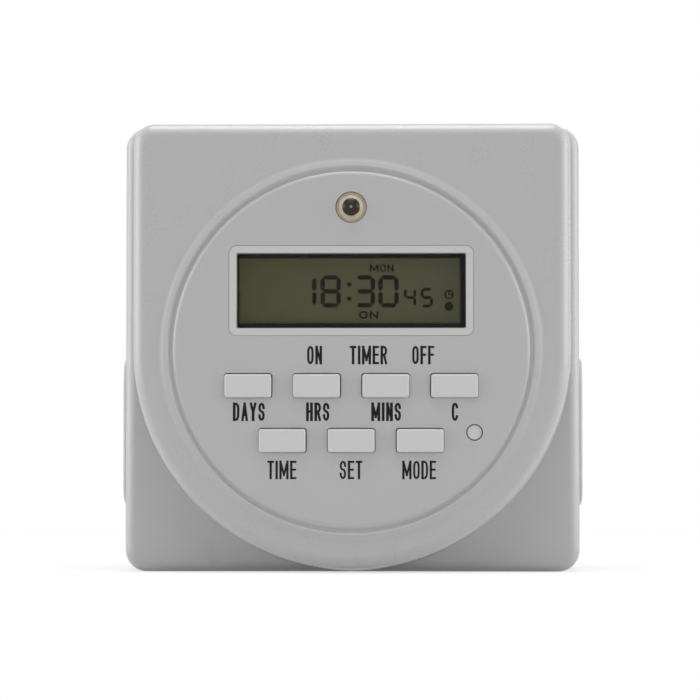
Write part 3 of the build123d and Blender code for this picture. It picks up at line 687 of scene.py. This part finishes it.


# Indicator lamp: clear epoxy, in which the dark cup shows magnified, with painted shade round its
# outer edge
lampLook = {
    # radii in mm, and how sharply each form ends
    "cupRadius": 1.74,
    "cupSharpness": 6000,
    "cupWaviness": 0.8,
    "dieRadius": 0.36,
    "dieSharpness": 3500,
    "skirtRadius": 1.9,
    "skirtSharpness": 1600,
    # where the painted shade round the lamp's outer edge begins, how sharply, and how dark
    "outlineRadius": 2.62,
    "outlineSharpness": 6000,
    "outlineShare": 0.7,
    "rimTint": (0.50, 0.43, 0.32, 1.0),
    "rimShade": (0.37, 0.315, 0.235, 1.0),
    "rimContrast": 1.6,
    "rimCut": 0.3,
    "skirt": (0.66, 0.58, 0.45, 1.0),
    # colour of the painted shade round the lamp's outer edge
    "outline": (0.22, 0.20, 0.16, 1.0),
    "cup": (0.014, 0.015, 0.009, 1.0),
    "cupTint": (0.040, 0.034, 0.022, 1.0),
    "cupContrast": 1.5,
    "cupCut": 0.35,
    "dieSpot": (0.26, 0.28, 0.22, 1.0),
    "swirlSize": 1.1,
    "fineSize": 0.35,
    "roughness": 0.08,
    "unevenGloss": 0.05,
    "shine": 0.20,
}


def lampFinish():
    look = lampLook
    tree = newMaterial("lampEpoxy")
    x, z = tree.axes((0, 0, lampAxis))
    away = tree.length(tree.node("ShaderNodeCombineXYZ", {}, {0: x, 2: z}))
    swirl = tree.noise(look["swirlSize"], fineDetail)
    fine = tree.noise(look["fineSize"])
    cupEdge = (look["cupRadius"] * mm - away) * look["cupSharpness"]
    inCup = (cupEdge + (swirl - 0.5) * look["cupWaviness"]).within()
    inDie = ((look["dieRadius"] * mm - away) * look["dieSharpness"]).within()
    onSkirt = ((away - look["skirtRadius"] * mm) * look["skirtSharpness"]).within()
    # painted shade: a dark ring painted round the lamp's outer edge
    inPaintedEdgeShade = ((away - look["outlineRadius"] * mm) * look["outlineSharpness"]).within()
    rimShare = (swirl * look["rimContrast"] - look["rimCut"]).within()
    rim = tree.blend(rimShare, look["rimTint"], look["rimShade"])
    cupShare = (fine * look["cupContrast"] - look["cupCut"]).within()
    cup = tree.blend(cupShare, look["cup"], look["cupTint"])
    colour = tree.blend(onSkirt, rim, look["skirt"])
    colour = tree.blend(inPaintedEdgeShade * look["outlineShare"], colour, look["outline"])
    colour = tree.blend(inCup, colour, cup)
    return tree.surface(
        Base_Color=tree.blend(inDie, colour, look["dieSpot"]),
        Roughness=look["roughness"] + look["unevenGloss"] * swirl,
        Specular_IOR_Level=look["shine"],
    )


dress(["indicator_led"], lampFinish())
print("lamp finished")


# Metals: fine rolling lines, and faint stains
metals = {
    # colour and roughness
    "rolledBrass": ((0.72, 0.52, 0.23, 1.0), 0.26),
    "nickelPlate": ((0.62, 0.60, 0.56, 1.0), 0.22),
    "zincSteel": ((0.55, 0.55, 0.56, 1.0), 0.32),
}
metalLook = {
    "lineSize": 0.08,
    "lineStretch": (1, 0.05, 1),
    "lineShare": 0.35,
    "lineGloss": 0.08,
    "lineDepth": 0.004,
    "lineStrength": 0.5,
    "stainSize": 4.0,
    "stainTone": 0.8,
    "stainGloss": 0.12,
}


def metal(name):
    look = metalLook
    colour, roughness = metals[name]
    tree = newMaterial(name)
    rolled = tree.noise(look["lineSize"], fineDetail, look["lineStretch"])
    stain = tree.noise(look["stainSize"], fineDetail)
    share = (look["lineShare"] * rolled + (1 - look["lineShare"]) * stain).within()
    return tree.surface(
        Base_Color=tree.blend(share, colour, tone(colour, look["stainTone"])),
        Metallic=1.0,
        Roughness=roughness + look["stainGloss"] * stain + look["lineGloss"] * rolled,
        Normal=tree.bump(rolled, look["lineDepth"], look["lineStrength"]),
    )


brassNodes = ["line_blade", "neutral_blade", "ground_pin"]
brassNodes += ["line_strip", "neutral_strip", "ground_strip"]
dress(brassNodes, metal("rolledBrass"))
dress(["timing_crystal", "backup_battery", "battery_tabs"], metal("nickelPlate"))
screwNodes = ["case_screws", "panel_screws", "board_screws", "retainer_screws"]
dress(screwNodes, metal("zincSteel"))
print("metals finished")


# Parts on the boards and between them
smallParts = {
    # node, then the name of its finish, colour and roughness
    "processor_blob": ("pottingEpoxy", (0.020, 0.020, 0.021), 0.35),
    "relay_transistor": ("transistorCase", (0.025, 0.025, 0.026), 0.45),
    "rectifier_diodes": ("diodeBodies", (0.022, 0.022, 0.024), 0.40),
    "relay": ("relayCase", (0.03, 0.10, 0.34), 0.30),
    "dropper_capacitor": ("filmCapacitor", (0.60, 0.40, 0.05), 0.35),
    "reservoir_capacitor": ("capacitorSleeve", (0.025, 0.03, 0.05), 0.30),
    "varistor": ("varistorCoat", (0.05, 0.16, 0.38), 0.50),
    "bleed_resistors": ("resistorCoat", (0.45, 0.30, 0.17), 0.40),
    "ribbon_cable": ("ribbonInsulation", (0.38, 0.38, 0.40), 0.50),
    "line_lead": ("blackInsulation", (0.018, 0.018, 0.018), 0.45),
    "neutral_lead": ("whiteInsulation", (0.72, 0.72, 0.70), 0.45),
    "switched_lead": ("redInsulation", (0.42, 0.02, 0.015), 0.45),
    "zebra_connectors": ("contactRubber", (0.03, 0.03, 0.03), 0.60),
}
pillLook = ("contactPill", (0.02, 0.02, 0.02), 0.60)
smallPartLook = {
    "mottleSize": 1.6,
    "mottleTone": 0.82,
    "unevenGloss": 0.12,
    "grainSize": 0.2,
    "grainDepth": 0.005,
    "grainStrength": 0.4,
}


def smallPart(name, colour, roughness):
    look = smallPartLook
    tree = newMaterial(name)
    mottle = tree.noise(look["mottleSize"], fineDetail)
    grain = tree.noise(look["grainSize"])
    return tree.surface(
        Base_Color=tree.blend(mottle, tone(colour, look["mottleTone"]), tone(colour, 1.0)),
        Roughness=roughness + look["unevenGloss"] * (mottle - 0.5),
        Normal=tree.bump(grain, look["grainDepth"], look["grainStrength"]),
    )


for nodeName, look in smallParts.items():
    dress([nodeName], smallPart(*look))
pillNodes = [name for name in nodes if name.startswith("pill_")]
dress(pillNodes, smallPart(*pillLook))


# Circuit boards: solder mask, with wandering copper tracks under it
boardLook = {
    "tint": (0.03, 0.20, 0.07),
    "gapTone": 0.6,
    # the tracks, in mm
    "wanderSize": 9.0,
    "wanderReach": 6,
    "trackStep": 1.1,
    "trackEdge": 0.62,
    "trackSharpness": 6000,
    "trackHeight": 0.03,
    "trackStrength": 0.5,
    "maskSize": 0.6,
    "roughness": 0.30,
    "unevenGloss": 0.12,
}


def boardFinish(name):
    look = boardLook
    tree = newMaterial(name)
    wander = tree.noise(look["wanderSize"], softDetail)
    winding = tree.axes()[1] + wander * look["wanderReach"] * mm
    folded = tree.node(
        "ShaderNodeMath", {"operation": "PINGPONG"}, {0: winding, 1: look["trackStep"] * mm}
    )
    track = ((folded - look["trackEdge"] * mm) * look["trackSharpness"]).within()
    mask = tree.noise(look["maskSize"])
    return tree.surface(
        Base_Color=tree.blend(track, tone(look["tint"], look["gapTone"]), tone(look["tint"], 1.0)),
        Roughness=look["roughness"] + look["unevenGloss"] * mask,
        Normal=tree.bump(track, look["trackHeight"], look["trackStrength"]),
    )


dress(["control_board", "power_board"], boardFinish("circuitBoard"))
print("inner parts finished")


# Floor: pale, seen as white by the camera, and keeping the object's shadow
stageLook = {
    "floorSize": 6.0,
    "shadowShare": 0.30,
    "shadowReach": 0.15,  # metres; from there the shadow fades, and ends at twice as far
    "paint": (0.94, 0.94, 0.94, 1.0),
    "paintTones": (0.99, 1.01),
    "cloudSize": 300.0,
    "bounce": (0.80, 0.80, 0.80, 1.0),
    "ambient": 0.25,
    "softboxSize": 400,
    "softboxAim": (0, -30, 10),
}


def seenAsBackground(tree):  # 1 for the camera, reflections and views through glass
    rays = tree.outputs(tree.node("ShaderNodeLightPath"))
    wanted = rays["Is Camera Ray"] + rays["Is Glossy Ray"] + rays["Is Transmission Ray"]
    return wanted.within()


def floorFinish():
    tree = newMaterial("paleFloor")
    seen = seenAsBackground(tree)
    cloud = tree.noise(stageLook["cloudSize"])
    dark, light = (tone(stageLook["paint"], factor) for factor in stageLook["paintTones"])
    colour = tree.blend(seen, stageLook["bounce"], tree.blend(cloud, dark, light))
    matt = tree.node("ShaderNodeBsdfDiffuse", {}, {"Color": colour})
    glow = tree.node("ShaderNodeEmission", {}, {"Color": (1, 1, 1, 1), "Strength": 1.0})
    away = tree.length(tree.place())
    near = (2 - away * (1 / stageLook["shadowReach"])).within()
    share = 1 - seen * (1 - near * stageLook["shadowShare"])
    mixed = tree.node("ShaderNodeMixShader", {}, {0: share, 1: glow, 2: matt})
    tree.node("ShaderNodeOutputMaterial", {}, {"Surface": mixed})
    return tree.owner


bpy.ops.object.select_all(action="DESELECT")
bpy.ops.mesh.primitive_plane_add(size=stageLook["floorSize"], location=(0, 0, cadBox[0][2]))
floor = bpy.context.object
floor.name = "floor"
settle(floor)
floor.data.materials.append(floorFinish())

# World: plain ambient light, and white where the camera or a reflection sees it
world = Tree(bpy.data.worlds.new("studio"))
bpy.context.scene.world = world.owner
background = seenAsBackground(world)
strength = stageLook["ambient"] + background * (1 - stageLook["ambient"])
sky = world.node("ShaderNodeBackground", {}, {"Color": (1, 1, 1, 1), "Strength": strength})
world.node("ShaderNodeOutputWorld", {}, {"Surface": sky})

softboxes = {
    # place in mm, then watts
    "topSoftbox": ((0, -20, 600), 2.65),
    "upperSoftbox": ((0, -270, 544), 0.7),
    "leftSoftbox": ((-544, -270, 120), 0.95),
    "rightSoftbox": ((544, -270, 120), 1.05),
    "leftStrip": ((-600, -20, 120), 1.5),
    "rightStrip": ((600, -20, 120), 1.45),
}
target = Vector(stageLook["softboxAim"]) * mm
for name, (place, watts) in softboxes.items():
    bpy.ops.object.light_add(type="AREA", location=[value * mm for value in place])
    softbox = bpy.context.object
    softbox.name = name
    softbox.data.size = stageLook["softboxSize"] * mm
    softbox.data.energy = watts
    softbox.rotation_euler = (target - softbox.location).to_track_quat("-Z", "Y").to_euler()

view = {
    # place in mm, angles in degrees
    "place": (11.72, -589.9, -7.62),
    "tilt": 1.828,
    "turn": 1.244,
    "lens": 153.6,
    "sensor": 36,
    "clipStart": 0.01,
}
bpy.ops.object.camera_add(
    location=[value * mm for value in view["place"]],
    rotation=(math.radians(90 + view["tilt"]), 0, math.radians(view["turn"])),
)
camera = bpy.context.object
camera.data.lens = view["lens"]
camera.data.sensor_width = view["sensor"]
camera.data.clip_start = view["clipStart"]
bpy.context.scene.camera = camera
bpy.context.scene.view_settings.view_transform = "Standard"
print("stage finished")
